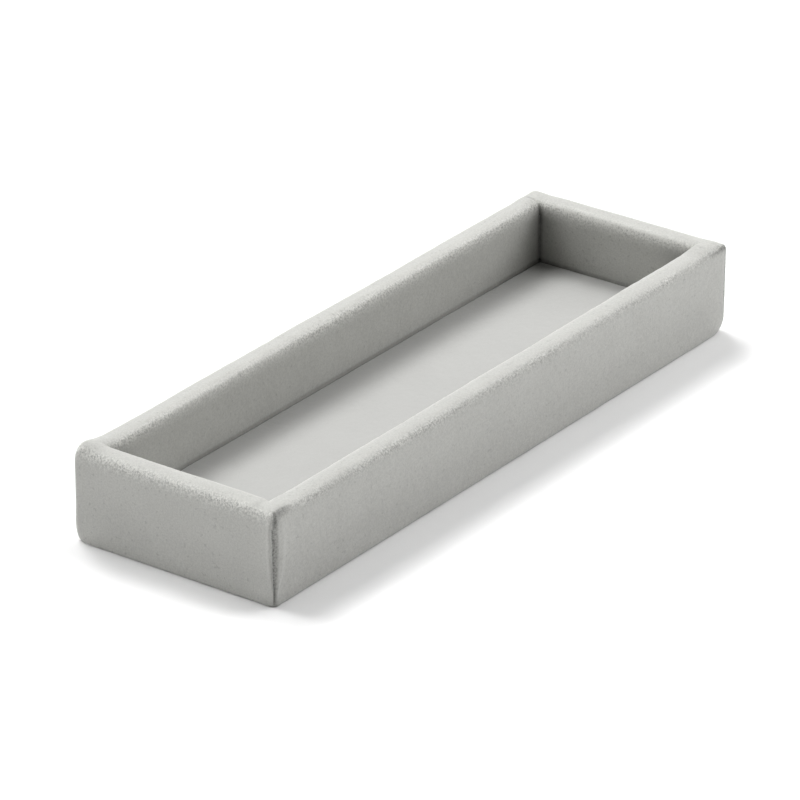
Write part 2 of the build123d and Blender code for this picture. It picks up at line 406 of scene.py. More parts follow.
class WallForm:
    """The covered wall's section and plan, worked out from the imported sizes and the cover's settings."""

    def __init__(self, cover):
        self.rim_round, self.rim_depth, self.rim_power = cover.rim_round, cover.rim_depth, cover.rim_power
        self.bend = (cover.rim_round + cover.rim_depth) / 2
        self.corner_round = cover.corner_round
        self.foot_round = cover.foot_round
        self.hem_turn = cover.hem_turn
        self.foot_drop = cover.foot_drop
        spring = tray_height - cover.rim_depth
        rim_arc = self.bend * math.pi / 2
        samples = 200
        angles = np.linspace(0.0, math.pi / 2, samples)
        drops = cover.rim_depth * (1.0 - fuller(angles, cover.rim_power)[1])
        seam_arc, front_seam_arc = (
            self.bend * np.interp(-drop, -drops, angles) for drop in (cover.seam_drop, cover.front_seam_drop)
        )
        hidden = pad_high.z - BEHIND_PAD
        # The hem, foot, outer face, rim up to the lower seams, up to the front corner's seam, rest of its
        # outer round with half its flat, the other half with its inner round, the inner face down to the pad,
        # and the part behind the pad
        flat = wall_thickness - 2 * cover.rim_round
        self.section = (
            cover.hem_turn - cover.foot_round,
            cover.foot_round * math.pi / 2,
            spring - hem_height - cover.foot_round,
            seam_arc,
            front_seam_arc - seam_arc,
            rim_arc - front_seam_arc + flat / 2,
            flat / 2 + rim_arc,
            spring - hidden,
            hidden - well_bottom,
        )
        few = (BACK_STEP,)
        self.section_steps = 2 * few + tuple(steps(length) for length in self.section[2:8]) + few
        self.turn_starts = np.cumsum((0.0, *self.section[:3]))
        self.flat_start = self.turn_starts[3] + rim_arc
        self.flat = flat
        self.seam_at = {corner: self.turn_starts[3] + seam_arc for corner in QUARTERS}
        self.seam_at[FRONT_CORNER] = self.turn_starts[3] + front_seam_arc
        self.pole_at = self.flat_start + flat + rim_arc
        # The long straight, corner block, half the upright round, its other half, corner block, end straight
        block = wall_thickness - cover.corner_round
        arc = cover.corner_round * math.pi / 4
        self.core_x = half_length - wall_thickness
        self.core_y = half_width - wall_thickness
        self.plan = (self.core_x, block, arc, arc, block, self.core_y)
        fine = 0.75 * PILE_PITCH
        pitches = (PILE_PITCH, fine, fine / 2, fine / 2, fine, PILE_PITCH)
        self.plan_steps = tuple(steps(length, pitch) for length, pitch in zip(self.plan, pitches))
        self.plan_starts = np.concatenate([[0.0], np.cumsum(self.plan)])

    def profile(self, along):
        """Inset from the outer face, height and plan radius at a distance along the section.

        Each stretch adds its own part: a straight one the distance covered on it, the foot its radius times
        the sine, or one less the cosine, of the distance covered over that radius, and the rim the same on
        its own fuller curve. Past the felt's edge the hem hangs down by a smooth step, which the outer face
        takes up again."""
        starts = self.turn_starts
        hem = np.clip(along, 0.0, starts[1])
        foot = np.clip(along - starts[1], 0.0, starts[2] - starts[1]) / self.foot_round
        outer = np.clip(along - starts[2], 0.0, starts[3] - starts[2])
        (out_across, out_up), (in_up, in_across) = self.bends(along)
        flat = np.clip(along - self.flat_start, 0.0, self.flat)
        inner = np.clip(along - self.pole_at, 0.0, None)
        inset = self.hem_turn - hem - self.foot_round * np.sin(foot)
        low_radius = np.clip(self.corner_round - inset, 0.0, None)
        inset = inset + self.rim_round * (1.0 - out_across + in_across) + flat
        hanging = smooth_step(self.hem_turn - felt_inset, starts[1], along)
        hanging = hanging * (1.0 - smooth_step(0.0, DROOP_FADE, outer))
        height = hem_height + self.foot_round * (1.0 - np.cos(foot)) + outer - self.foot_drop * hanging
        height = height + self.rim_depth * (out_up - 1.0 + in_up) - inner
        high_radius = self.corner_round * np.clip(1.0 - inset / self.rim_round, 0.0, 1.0)
        return inset, height, np.where(along < starts[3], low_radius, high_radius)

    def bends(self, along):
        """The cosine and sine, on the rim's fuller curve, of the turns made on its outer and inner bends."""
        turn_out = np.clip((along - self.turn_starts[3]) / self.bend, 0.0, math.pi / 2)
        turn_in = np.clip((along - self.flat_start - self.flat) / self.bend, 0.0, math.pi / 2)
        return fuller(turn_out, self.rim_power), fuller(turn_in, self.rim_power)

    def surface(self, along, around, side_x, side_y):
        """The point of the cover at a distance along the section and one around the outer outline.

        A quarter of the outline runs from the middle of a long side to the middle of an end. At an inset, its
        straights keep their length up to the corner block, whose sides shrink with the inset, and the upright
        round is a quarter circle of the section's plan radius. The other quarters are mirrored."""
        inset, height, radius = self.profile(along)
        done = [
            np.clip((around - start) / length, 0.0, 1.0) for start, length in zip(self.plan_starts, self.plan)
        ]
        angle = (done[2] + done[3]) * math.pi / 4
        block_x = half_length - inset - radius - self.core_x
        block_y = half_width - inset - radius - self.core_y
        x = self.core_x * done[0] + block_x * done[1] + radius * np.sin(angle)
        y = self.core_y * (1.0 - done[5]) + block_y * (1.0 - done[4]) + radius * np.cos(angle)
        return np.stack([side_x * x, side_y * y, height + 0.0 * x], axis=-1)

    def seam(self, corner):
        """Distances along and around for the seam of a corner: up the middle of the upright round, through a
        quarter ellipse and along the outer side of the rim. With them go the share of the depth at each point
        and how far it is up the bend, from 0 to 1."""
        middle, top = self.plan_starts[3], self.seam_at[corner]
        bend_up, bend_out = 3.8 * MM, 3.6 * MM
        fade_in, short_of_block = 3.0 * MM, 1.2 * MM
        rising, turning, running = 60, 16, 24
        past_bend, last = 0.85, 0.2
        rise = np.linspace(self.turn_starts[1], top - bend_up, rising)
        turn = np.linspace(0.0, math.pi / 2, turning)
        run = np.linspace(middle - bend_out, self.plan_starts[1] + short_of_block, running)
        along = np.concatenate([rise, top - bend_up * (1.0 - np.sin(turn)), np.full(running, top)])
        around = np.concatenate([np.full(rising, middle), middle - bend_out * (1.0 - np.cos(turn)), run])
        fading = np.linspace(1.0, past_bend, turning), np.linspace(past_bend, last, running)
        share = np.concatenate([np.ones(rising), *fading])
        share *= beside(self.turn_starts[1], (0.0, fade_in), along)
        bend = np.concatenate([np.zeros(rising), np.linspace(0.0, 1.0, turning), np.ones(running)])
        return along, around, share, bend

    def tilt(self, along):
        """The angle between the surface's normal and the vertical on the rim, a right angle below it. Its
        tangent on a fuller curve is the ratio of the two shares raised to the power less one, each over its
        own size."""
        less = self.rim_power - 1.0
        (out_across, out_up), (in_up, in_across) = self.bends(along)
        out = np.arctan2(out_across**less / self.rim_round, out_up**less / self.rim_depth)
        return out + np.arctan2(in_across**less / self.rim_round, in_up**less / self.rim_depth)


def merged(points):
    """Each grid point's number among the points left when those at one place are made one, and the first
    grid point at each place."""
    key = np.round((points - points.min(axis=0)) / MERGE_DISTANCE).astype(np.int64)
    span = key.max(axis=0) + 1
    flat = (key[:, 0] * span[1] + key[:, 1]) * span[2] + key[:, 2]
    _, first, number = np.unique(flat, return_index=True, return_inverse=True)
    return number.ravel(), first


def point_normals(points, quads):
    """The cross products of the diagonals of the faces round each point, summed and made one long."""
    a, b, c, d = (points[quads[:, i]] for i in range(4))
    face = np.cross(c - a, d - b)
    sums = [sum(np.bincount(quads[:, i], part, len(points)) for i in range(4)) for part in face.T]
    total = np.stack(sums, axis=1)
    return total / np.maximum(np.linalg.norm(total, axis=1, keepdims=True), NO_AREA)


def grid_quads(number, cells, step=1):
    """The four corners of each chosen cell of a grid of point numbers, anticlockwise from outside."""
    row, column = np.nonzero(cells)
    row, column = row * step, column * step
    after = (column + step) % number.shape[1] if number.shape[1] % step == 0 else column + step
    below = row + step
    corners = [number[row, column], number[below, column], number[below, after], number[row, after]]
    return np.stack(corners, axis=1)


def closed_cloth(number, back, cells, round_trip):
    """Faces of a closed sheet of cloth: the fine face side, a coarse back and the strips along the cut edges.

    number holds the face side's point numbers on a grid, back those of the back's points, and cells says
    which fine cells the cloth covers. Each strip joins a coarse back edge to its fine face edges with two
    fans."""
    step = BACK_STEP
    coarse = cells[::step, ::step]
    faces = [grid_quads(number, cells), grid_quads(back, coarse, step)[:, ::-1]]
    ring = np.pad(coarse, 1, mode="constant")
    if round_trip:
        ring[:, 0], ring[:, -1] = ring[:, -2], ring[:, 1]
    columns = number.shape[1]
    # Each side of a cell: the neighbour's shift, the chain's start and the direction in which a face runs it
    sides = (
        ((0, -1), (0, 0), (1, 0)),
        ((1, 0), (1, 0), (0, 1)),
        ((0, 1), (1, 1), (-1, 0)),
        ((-1, 0), (0, 1), (0, -1)),
    )
    fans = []
    for (shift_row, shift_column), start, way in sides:
        neighbour = ring[1 + shift_row :, 1 + shift_column :][: coarse.shape[0], : coarse.shape[1]]
        row, column = np.nonzero(coarse & ~neighbour)
        along = np.arange(step + 1)[:, None]
        rows = (row + start[0]) * step + along * way[0]
        line = (column + start[1]) * step + along * way[1]
        line = line % columns if round_trip else line
        chain = number[rows, line]
        ends = back[rows[[0, -1]], line[[0, -1]]]
        half = step // 2
        for i in range(step):
            fans.append(np.stack([chain[i + 1], chain[i], ends[0 if i < half else 1]], axis=1))
        fans.append(np.stack([chain[half], ends[0], ends[1]], axis=1))
    return np.concatenate(faces), np.concatenate(fans)


def write_mesh(name, points, quads, triangles, values=None):
    """A mesh object from whole arrays. Faces that have lost a corner become triangles, and those that have
    lost two are left out, and so are points that no face uses."""
    same = [quads[:, i] == quads[:, (i + 1) % 4] for i in range(4)]
    broken = np.any(same, axis=0) | (quads[:, 0] == quads[:, 2]) | (quads[:, 1] == quads[:, 3])
    halves = np.concatenate([quads[broken][:, [0, 1, 2]], quads[broken][:, [0, 2, 3]]])
    triangles = np.concatenate([triangles, halves])
    whole = np.all([triangles[:, i] != triangles[:, (i + 1) % 3] for i in range(3)], axis=0)
    quads, triangles = quads[~broken], triangles[whole]
    used, corners = np.unique(np.concatenate([quads.ravel(), triangles.ravel()]), return_inverse=True)
    mesh = bpy.data.meshes.new(name)
    mesh.vertices.add(len(used))
    mesh.vertices.foreach_set("co", points[used].astype(np.float32).ravel())
    mesh.loops.add(len(corners))
    mesh.loops.foreach_set("vertex_index", corners.ravel().astype(np.int32))
    starts = np.concatenate([4 * np.arange(len(quads)), 4 * len(quads) + 3 * np.arange(len(triangles))])
    mesh.polygons.add(len(starts))
    mesh.polygons.foreach_set("loop_start", starts.astype(np.int32))
    mesh.update(calc_edges=True)
    mesh.shade_smooth()
    mesh.set_sharp_from_angle(angle=SHARP_ANGLE)
    for title, value in (values or {}).items():
        layer = mesh.attributes.new(title, "FLOAT", "POINT")
        layer.data.foreach_set("value", value[used].astype(np.float32))
    if mesh.validate():
        raise RuntimeError(f"{name} has faces that Blender had to mend")
    piece = bpy.data.objects.new(name, mesh)
    bpy.context.scene.collection.objects.link(piece)
    return piece


def corner_offsets(points, corner, radius):
    """Offsets from the centre of a corner's round, with one in place of those outside its square, and which
    points lie in the square."""
    centre = np.array([half_length, half_width]) - radius
    offset = points[:, :2] * np.array(corner) - centre
    within = (offset > 0).all(axis=1)
    return np.where(within[:, None], offset, 1.0), within


def scaled_corner(points, corner, radius, factor):
    """The points, those in a corner's square moved to a factor of their offset from its round's centre."""
    offset, within = corner_offsets(points, corner, radius)
    centre = np.array([half_length, half_width]) - radius
    moved = points.copy()
    scaled = (centre + offset * factor[:, None]) * np.array(corner)
    moved[:, :2] = np.where(within[:, None], scaled, points[:, :2])
    return moved


def corner_shape(points, cover):
    """Squares the sharp upright corner and rounds the four lower ones.

    In the square that holds the sharp corner's round, an offset from the round's centre is lengthened from
    its plain length to the length that a fuller curve has there. Near the foot each corner's plan grows
    round, up to a quarter circle of the lower radius: an offset from that circle's centre goes towards the
    length of the radius less the point's inset, by one less the root of one less the square of its share of
    the way down."""
    power = cover.sharp_power
    offset, _ = corner_offsets(points, SHARP_CORNER, cover.corner_round)
    fullness = np.hypot(*offset.T) / (offset**power).sum(axis=1) ** (1.0 / power)
    moved = scaled_corner(points, SHARP_CORNER, cover.corner_round, fullness)
    foot = hem_height - cover.foot_drop
    for corner in QUARTERS:
        radius = cover.front_corner_round if corner == FRONT_CORNER else cover.low_corner_round
        straight = radius - cover.corner_round
        # A point's place before the squaring gives its inset: straight in from a face, or round the corner
        plain = points[:, :2] * np.array(corner) - (np.array([half_length, half_width]) - radius)
        past = np.clip(plain - straight, 0.0, None)
        length = np.where((past > 0).all(axis=1), straight + np.hypot(*past.T), plain.max(axis=1))
        deep = np.clip((foot + radius - points[:, 2]) / radius, 0.0, 1.0)
        share = 1.0 - np.sqrt(1.0 - deep**2)
        offset, _ = corner_offsets(moved, corner, radius)
        moved = scaled_corner(moved, corner, radius, 1.0 - share * (1.0 - length / np.hypot(*offset.T)))
    return moved


def bell(distance, width):
    """One at zero distance, falling off as the normal curve does, to about a third at the width."""
    return np.exp(-((distance / width) ** 2))


def plateau(value, slopes):
    """One between the two slopes and zero outside them, by a smooth step up the first and down the second."""
    return smooth_step(slopes[0], slopes[1], value) * (1.0 - smooth_step(slopes[2], slopes[3], value))


class Ring:
    """The whole ring of velour round the walls, as one grid of point numbers with its points.

    The ring is the wall's surface with its corners shaped, then settled downwards or upwards on its rims, and
    then moved along its normals by slow waves, the seams' grooves and rolls, and the tufts of the pile."""

    def __init__(self, cover):
        self.cover = cover
        self.form = form = WallForm(cover)
        self.along = spaced(form.section, form.section_steps)
        quarter = spaced(form.plan, form.plan_steps)
        self.around = np.concatenate([quarter[:-1], quarter[:0:-1], quarter[:-1], quarter[:0:-1]])
        self.side_x, self.side_y = np.repeat(np.transpose(QUARTERS), len(quarter) - 1, axis=1)
        grid = form.surface(self.along[:, None], self.around[None, :], self.side_x, self.side_y)
        rows, columns = grid.shape[:2]
        number, first = merged(grid.reshape(-1, 3))
        self.number = number.reshape(rows, columns)
        row, column = np.divmod(first, columns)
        self.at, self.place = self.along[row], self.around[column]
        self.points = corner_shape(grid.reshape(-1, 3)[first], cover)
        self.unsettled = self.points.copy()
        self.settle()
        quads = grid_quads(self.number, np.ones((rows - 1, columns), bool))
        normals = point_normals(self.points, quads)
        rise, self.shade, self.open_pile = self.dressing()
        self.front = self.points + normals * rise[:, None]
        self.back = self.points - normals * cover.cloth

    def at_corners(self, shares):
        """Each point's value out of a table of one value for each corner."""
        east, north = self.points[:, 0] > 0, self.points[:, 1] > 0
        return sum(
            share * (east == (corner[0] > 0)) * (north == (corner[1] > 0)) for corner, share in shares.items()
        )

    def on_rims(self, front, back, near, far):
        """Each point's value out of one for each rim, near long, far long, near end and far end, blended
        where two rims meet."""
        form, points = self.form, self.unsettled
        past_end = (np.abs(points[:, 0]) - form.core_x) - (np.abs(points[:, 1]) - form.core_y)
        end = smooth_step(-STRETCH_BLEND, STRETCH_BLEND, past_end)
        on_long = np.where(points[:, 1] > 0, back, front)
        return end * np.where(points[:, 0] > 0, far, near) + (1.0 - end) * on_long

    def settle(self):
        """Moves the points down or up: the corner blocks a little lower than the rims beside them, the rims'
        roundings stretched downwards, each by its own amount, the long rims sagging between the corners, and
        the folded velour's swell. The sharp corner's round top is filled out towards the crest by a share of
        what it is short of."""
        cover, form, points = self.cover, self.form, self.points
        top = smooth_step(tray_height - cover.seam_drop, tray_height - cover.seam_drop / 2, points[:, 2])
        out = beside(form.core_x, BLOCK_ALONG, np.abs(points[:, 0]))
        block = out * beside(form.core_y, BLOCK_ACROSS, np.abs(points[:, 1]))
        drop = cover.block_drop * top * block * self.at_corners(BUTT_SHARES)
        below = tray_height - points[:, 2]
        stretch = self.on_rims(cover.front_stretch, cover.back_stretch, cover.end_stretch, cover.end_stretch)
        taken_up = 1.0 - smooth_step(cover.rim_depth, STRETCH_DEPTH, below)
        drop += stretch * smooth_step(0.0, cover.rim_depth, below) * taken_up
        high = smooth_step(tray_height - SAG_DEPTH, tray_height, points[:, 2])
        far, near = (beside(form.core_x, SAG_ALONG, end * points[:, 0]) for end in (1, -1))
        for side, sag, kept in ((-1, cover.front_sag, SAG_KEPT), (1, cover.back_sag, 0.0)):
            on_side = beside(form.core_y, SAG_ACROSS, side * points[:, 1])
            drop += sag * high * on_side * (1.0 - far) * (1.0 - (1.0 - kept) * near)
        from_x = np.abs(points[:, 0]) - (half_length - SWELL_INSET)
        from_y = np.abs(points[:, 1]) - (half_width - SWELL_INSET)
        swell = cover.corner_swell * self.at_corners(SWELL_SHARES)
        drop -= swell * high * bell(np.hypot(from_x, from_y), SWELL_WIDTH)
        edge = np.hypot(half_length - np.abs(points[:, 0]), half_width - np.abs(points[:, 1]))
        filled = cover.corner_fill * self.at_corners({SHARP_CORNER: 1.0}) * bell(edge, FILL_WIDTH)
        drop -= filled * below * smooth_step(FILL_DEPTH, cover.rim_depth, below)
        points[:, 2] -= drop

    def dressing(self):
        """How far each point rises along its normal, how much shade is painted into its pile, below zero
        where light is painted in instead, and how far its pile opens, from 0 to 1."""
        cover, form, points, at = self.cover, self.form, self.points, self.at
        after_foot, before_end = at - form.turn_starts[1], self.along[-1] - form.section[-1] - at
        seen = smooth_step(0.0, PILE_FADE, after_foot) * smooth_step(0.0, PILE_FADE, before_end)
        wave, ripple = layered_noise(points, WALL_WAVES), lattice_noise(points, RIPPLE_SIZE, 11)
        rise = seen * (cover.wave_height * wave + cover.ripple_height * ripple)
        sunk, raised, dark = self.seams()
        butt = self.butts()
        tufts = layered_noise(points, WALL_TUFTS, cover.tuft_size)
        uneven = OPEN_MEAN + OPEN_VARIES * lattice_noise(points, OPEN_PATCH, 5)
        tilt = form.tilt(at)
        open_pile = np.clip(bell(tilt - BEND_TILT, BEND_SPREAD) * uneven, 0.0, 1.0)
        rise += cover.tuft_height * (1.0 + OPEN_TUFTS * open_pile) * tufts * seen + raised
        rise -= cover.seam_depth * sunk + cover.butt_depth * butt * (1.0 - sunk)
        # Shade painted into the pile down in the seams, the butt seams, the crease and the inner corners
        shade = np.maximum(np.maximum(SEAM_SHADE * dark, BUTT_SHADE * butt), self.creases())
        # Shade painted onto the rims' crests
        shade += self.on_rims(*CREST_PAINTED_SHADES) * (1.0 - smooth_step(0.0, CREST_TILT, tilt))
        # Light painted into the pile at the foot of the outer faces
        low_down = (at < form.flat_start) * (1.0 - smooth_step(*FOOT_HEIGHTS, points[:, 2]))
        shade -= FOOT_PAINTED_LIGHT * low_down * (1.0 - dark)
        # A highlight painted into the pile's colour over the bends of the rims
        outer_bend = at < form.flat_start + form.flat / 2
        bend_highlight = np.where(outer_bend, self.on_rims(*OUTER_BEND_HIGHLIGHTS), self.on_rims(*INNER_BEND_HIGHLIGHTS))
        shade -= BEND_PAINTED_HIGHLIGHT * bend_highlight * bell(tilt - BEND_HIGHLIGHT_TILT, BEND_HIGHLIGHT_SPREAD) * (1.0 - dark)
        return rise, np.clip(shade, -1.0, 1.0), np.maximum(open_pile, dark)

    def seams(self):
        """How far the corner seams' two velours sink, as a share of the seam's depth, how far they stand up
        beside it, and how much shade is painted into the pile in it.

        Each is worked out from the distance across the seam, as smooth steps down and up again, or as a bell
        curve round the place where the cloth stands up. Past the bend there is no lip or roll."""
        cover, form, points = self.cover, self.form, self.unsettled
        sunk, raised, dark = np.zeros((3, len(points)))
        near = self.place > form.plan_starts[1] - SEAM_REACH
        for corner in QUARTERS:
            along, around, depth_share, bend = form.seam(corner)
            line = corner_shape(form.surface(along, around, *corner), cover)
            here = np.nonzero(near & (points[:, 0] * corner[0] > 0) & (points[:, 1] * corner[1] > 0))[0]
            apart = np.linalg.norm(points[here][:, None, :] - line[None, :, :], axis=2)
            closest = apart.argmin(axis=1)
            depth, darkness, width, shift = SEAM_LOOKS[corner]
            share, bend = depth_share[closest], bend[closest]
            on_end = (self.place[here] > form.plan_starts[3]) | (self.at[here] > form.seam_at[corner])
            across = apart.min(axis=1) * np.where(on_end, -1.0, 1.0)
            across += layered_noise(points[here], SEAM_WANDER)
            widened = smooth_step(*SEAM_TAPER, points[here, 2])
            across = (across - shift) / (width * (SEAM_FOOT_WIDTH + (1.0 - SEAM_FOOT_WIDTH) * widened))
            top = smooth_step(tray_height - SEAM_RISE, tray_height - 2 * cover.seam_drop, points[here, 2])
            sunk[here] = depth * share * (1.0 - (1.0 - SEAM_TOP_SHARE) * top) * plateau(across, SINK_SLOPES)
            core = 1.0 - CORE_FADE * smooth_step(*DARK_CORE, across)
            dark[here] = darkness * share**0.5 * core * plateau(across, DARK_SLOPES)
            lip, roll = bell(across - LIP_AT, LIP_WIDTH), bell(across - ROLL_AT, ROLL_WIDTH)
            raised[here] = depth * share * (1.0 - bend) * (cover.seam_lip * lip + cover.seam_roll * roll)
        return sunk, raised, dark

    def butts(self):
        """The butt seams across the rims, strongest on the inner half of each."""
        form, points = self.form, self.points
        away = np.abs(points[:, 1])
        on_rim = (self.at > form.turn_starts[3]) & (self.at < form.pole_at + BUTT_RUNS_DOWN)
        share = self.at_corners(BUTT_SHARES) * on_rim * beside(form.core_y, BUTT_ACROSS, away)
        share *= 1.0 - BUTT_LOSS * beside(half_width, (-wall_thickness / 2, -BUTT_LOST_BY), away)
        return share * bell(np.abs(points[:, 0]) - form.core_x, BUTT_WIDTH)

    def creases(self):
        """Shade painted along the pad's crease and down the inner corners, and a broad painted shadow round
        them.
        """
        form, points = self.form, self.points
        inner = smooth_step(form.flat_start, form.pole_at, self.at)
        crease = bell(points[:, 2] - pad_high.z, CREASE_WIDTH)
        corner = np.hypot(np.abs(points[:, 0]) - form.core_x, np.abs(points[:, 1]) - form.core_y)
        grain = GRAIN_MEAN + WALL_GRAIN * lattice_noise(points, GRAIN_SIZE, 12)
        dark = CREASE_SHADE * crease + CORNER_SHADE * bell(corner, CORNER_WIDTH)
        return inner * (grain * dark + CORNER_PAINTED_SHADOW * bell(corner, CORNER_SHADOW_WIDTH))


def cover_piece(name, ring, on_long_side, side):
    """One wall's velour, cut out of the ring along the seams and closed with its back."""
    form = ring.form
    row = ((ring.along[:-1] + ring.along[1:]) / 2)[:, None]
    column = ((ring.around + np.roll(ring.around, -1)) / 2)[None, :]
    starts = form.plan_starts
    seam_at = np.array([form.seam_at[corner] for corner in zip(ring.side_x, ring.side_y)])[None, :]
    below, rim = row < seam_at, (row > seam_at) & (row < form.pole_at)
    long_straight, end_straight = column < starts[1], column > starts[5]
    long_block = (column > starts[1]) & (column < starts[3])
    end_block = (column > starts[3]) & (column < starts[5])
    if on_long_side:
        cells = (ring.side_y == side)[None, :] & (long_straight | (long_block & below))
    else:
        on_blocks = (end_block & (below | rim)) | (long_block & rim)
        cells = (ring.side_x == side)[None, :] & (end_straight | on_blocks)
    quads, triangles = closed_cloth(ring.number, ring.number + len(ring.front), cells, True)
    values = {"shade": ring.shade, "open_pile": ring.open_pile}
    values = {title: np.concatenate([value, 0.0 * value]) for title, value in values.items()}
    return write_mesh(name, np.concatenate([ring.front, ring.back]), quads, triangles, values)


def pad_fold(a, b, form):
    """Folds a flat sheet over the pad: within the top's rectangle a point keeps its place, and past it the
    larger overshoot runs round the edge's quarter circle and down the side. In a corner the ratio of the two
    overshoots turns the point about the corner's upright round."""
    over_a, over_b = (np.clip(np.abs(v) - form[axis], 0.0, None) for v, axis in ((a, "x"), (b, "y")))
    over = np.maximum(over_a, over_b)
    less = np.minimum(over_a, over_b) / np.maximum(over, NO_LENGTH)
    angle = np.where(over_a >= over_b, less, 2.0 - less) * math.pi / 4
    angle = np.where(over > 0, angle, 0.0)
    turn = np.clip(over / form["round"], 0.0, math.pi / 2)
    out = form["round"] * np.sin(turn)
    down = form["round"] * (1.0 - np.cos(turn))
    down += np.clip(over - form["round"] * math.pi / 2, 0.0, None)
    x = np.clip(a, -form["x"], form["x"]) + np.sign(a) * out * np.cos(angle) * (over > 0)
    y = np.clip(b, -form["y"], form["y"]) + np.sign(b) * out * np.sin(angle) * (over > 0)
    return x, y, form["top"] - down


def padded_box(low, high, edge_round, pitch, side_steps):
    """The point numbers and the points of a grid folded over a box with rounded upper edges."""
    size = {"x": high.x - edge_round, "y": high.y - edge_round, "round": edge_round, "top": high.z}
    side = edge_round * math.pi / 2 + (high.z - low.z - edge_round)
    lines = []
    for reach in (size["x"], size["y"]):
        counts = (side_steps, steps(2 * reach, pitch), side_steps)
        lines.append(spaced((side, 2 * reach, side), counts) - reach - side)
    a, b = np.meshgrid(*lines, indexing="ij")
    points = np.stack(pad_fold(a, b, size), axis=-1).reshape(-1, 3)
    number, first = merged(points)
    return number.reshape(a.shape), points[first]


def floor_pad(pad, cover):
    """The padded floor: closed, with a low crown, drawn down at its edges, its pile in pressed tufts."""
    side_steps, fade_up, back_inset, back_rise = 16, 1.0 * MM, 0.002, 0.05 * MM
    number, points = padded_box(pad_low, pad_high, pad.edge_round, PILE_PITCH, side_steps)
    number = number[:, ::-1]
    cells = np.ones((number.shape[0] - 1, number.shape[1] - 1), bool)
    normals = point_normals(points, grid_quads(number, cells))
    fall_x, fall_y = (points[:, i] / pad_high[i] for i in (0, 1))
    level = (1.0 - fall_x ** CROWN_POWERS[0]) * (1.0 - fall_y ** CROWN_POWERS[1])
    top = beside(pad_high.z, (-pad.edge_round, -pad.edge_round / 5), points[:, 2])
    wave = layered_noise(points, PAD_WAVES)
    tufts = layered_noise(points, PAD_TUFTS, cover.tuft_size)
    crown = (pad.crown * (np.clip(level, 0.0, 1.0) - 1.0) + wave) * top
    edge_x, edge_y = pad_high.x - np.abs(points[:, 0]), pad_high.y - np.abs(points[:, 1])
    # Shade painted into the pad's pile along the crease at its edges and in its corners
    crease = bell(np.minimum(edge_x, edge_y), CREASE_WIDTH)
    grain = GRAIN_MEAN + PAD_GRAIN * lattice_noise(points, GRAIN_SIZE, 13)
    corner = PAD_CORNER_SHARE * CORNER_SHADE * bell(np.hypot(edge_x, edge_y), PAD_CORNER_WIDTH)
    shade = grain * (CREASE_SHADE * crease + corner)
    # A shadow of the walls painted along the pad's long edges
    shade += PAD_EDGE_PAINTED_SHADOW * (1.0 - smooth_step(*PAD_EDGE_SHADOW_WIDTHS, edge_y))
    high = beside(pad_low.z, (0.0, fade_up), points[:, 2])
    dressed = points + normals * (pad.tuft_height * tufts * high)[:, None]
    dressed[:, 2] += crown
    back = points.copy()
    back[:, 2] = pad_low.z
    # The back's rim lies on the face side's last line, so it is drawn in a little to keep the strip open
    back[:, :2] *= 1.0 - back_inset
    back[:, 2] += back_rise
    quads, triangles = closed_cloth(number, number + len(points), cells, False)
    values = {"shade": np.concatenate([shade, 0.0 * shade]), "open_pile": np.zeros(2 * len(points))}
    return write_mesh("floor_pad_cover", np.concatenate([dressed, back]), quads, triangles, values)


def underside_felt():
    """The felt: a rectangle with rounded corners, its upper face flat and its lower one a little fuzzy."""
    corner, pitch, corner_steps = 3.0 * MM, 1.0 * MM, 4
    edge_width, edge_rise, fuzz_height, fuzz_size = 1.5 * MM, 0.12 * MM, 0.035 * MM, 2.4 * MM
    upper_inset = 0.0005
    reach_x, reach_y = felt_high.x, felt_high.y
    lines = []
    for reach in (reach_x, reach_y):
        straight = 2 * (reach - corner)
        counts = (corner_steps, steps(straight, pitch), corner_steps)
        lines.append(spaced((corner, straight, corner), counts) - reach)
    a, b = np.meshgrid(*lines, indexing="ij")
    over_a, over_b = (np.clip(np.abs(v) - (r - corner), 0.0, None) for v, r in ((a, reach_x), (b, reach_y)))
    # In a corner's square, the point keeps its larger overshoot as its distance from the corner's centre
    longest = np.maximum(over_a, over_b)
    scale = longest / np.maximum(np.hypot(over_a, over_b), NO_LENGTH)
    scale = np.where((over_a > 0) & (over_b > 0), scale, 1.0)
    x = np.sign(a) * (np.minimum(np.abs(a), reach_x - corner) + over_a * scale)
    y = np.sign(b) * (np.minimum(np.abs(b), reach_y - corner) + over_b * scale)
    under = np.stack([x, y, np.full(x.shape, felt_low.z)], axis=-1).reshape(-1, 3)
    number = np.arange(len(under)).reshape(x.shape)
    cells = np.ones((x.shape[0] - 1, x.shape[1] - 1), bool)
    from_edge = np.minimum(reach_x - np.abs(under[:, 0]), reach_y - np.abs(under[:, 1]))
    edge = smooth_step(0.0, edge_width, from_edge)
    fuzz = (1.0 + lattice_noise(under, fuzz_size, 10)) / 2
    lower = under.copy()
    lower[:, 2] += edge_rise * (1.0 - edge) + fuzz_height * np.clip(fuzz, 0.0, 1.0)
    upper = under.copy()
    upper[:, 2] = felt_high.z
    upper[:, :2] *= 1.0 - upper_inset
    quads, triangles = closed_cloth(number, number + len(under), cells, False)
    points = np.concatenate([lower, upper])
    return write_mesh("underside_felt_sheet", points, quads[:, ::-1], triangles[:, ::-1])


